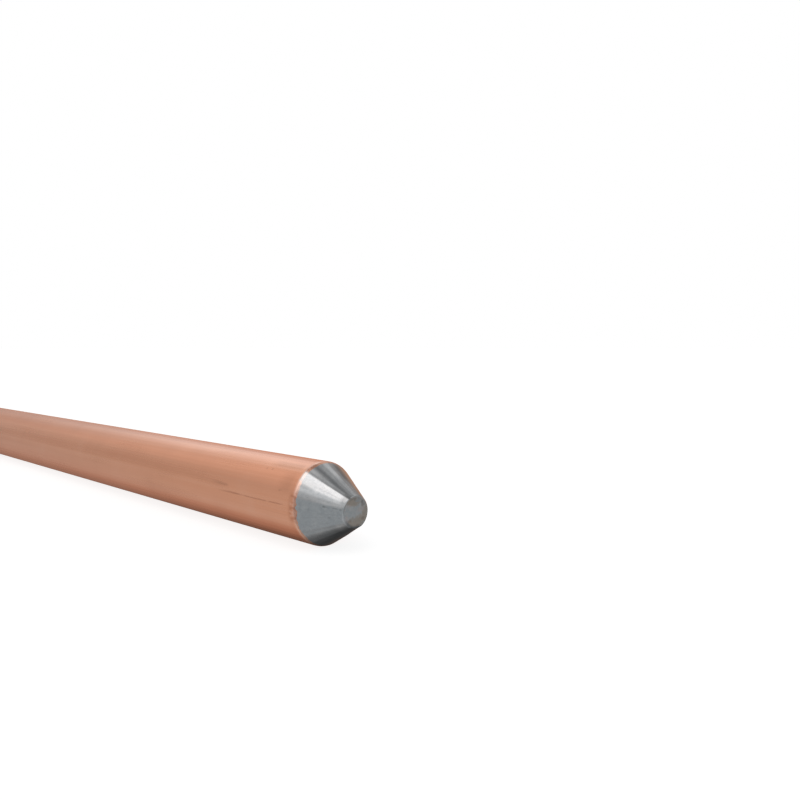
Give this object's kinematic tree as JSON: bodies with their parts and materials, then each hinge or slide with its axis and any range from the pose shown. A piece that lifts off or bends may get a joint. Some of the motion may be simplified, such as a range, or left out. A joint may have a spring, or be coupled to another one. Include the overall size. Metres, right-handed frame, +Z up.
{
  "type": "earth rod",
  "caption": "Long round copper-bonded steel earth rod with a blunt conical steel point and a plain chamfered driving end, driven into the ground to earth a conductor.",
  "frame": {"origin": "centre of the flat driving face, on the rod's axis", "axes": "+X along the rod's axis towards the point, +Z up, +Y completes a right-handed set; the rod is round, so Y and Z are alike"},
  "size_m": [2.44, 0.0142, 0.0142],
  "materials": {
    "bare_steel": "turned, fairly bright, with fine tool marks and a duller tip flat",
    "copper": null
  },
  "bodies": {
    "root": {"steel_core": "bare_steel", "copper_sheath": "copper"}
  },
  "joints": []
}
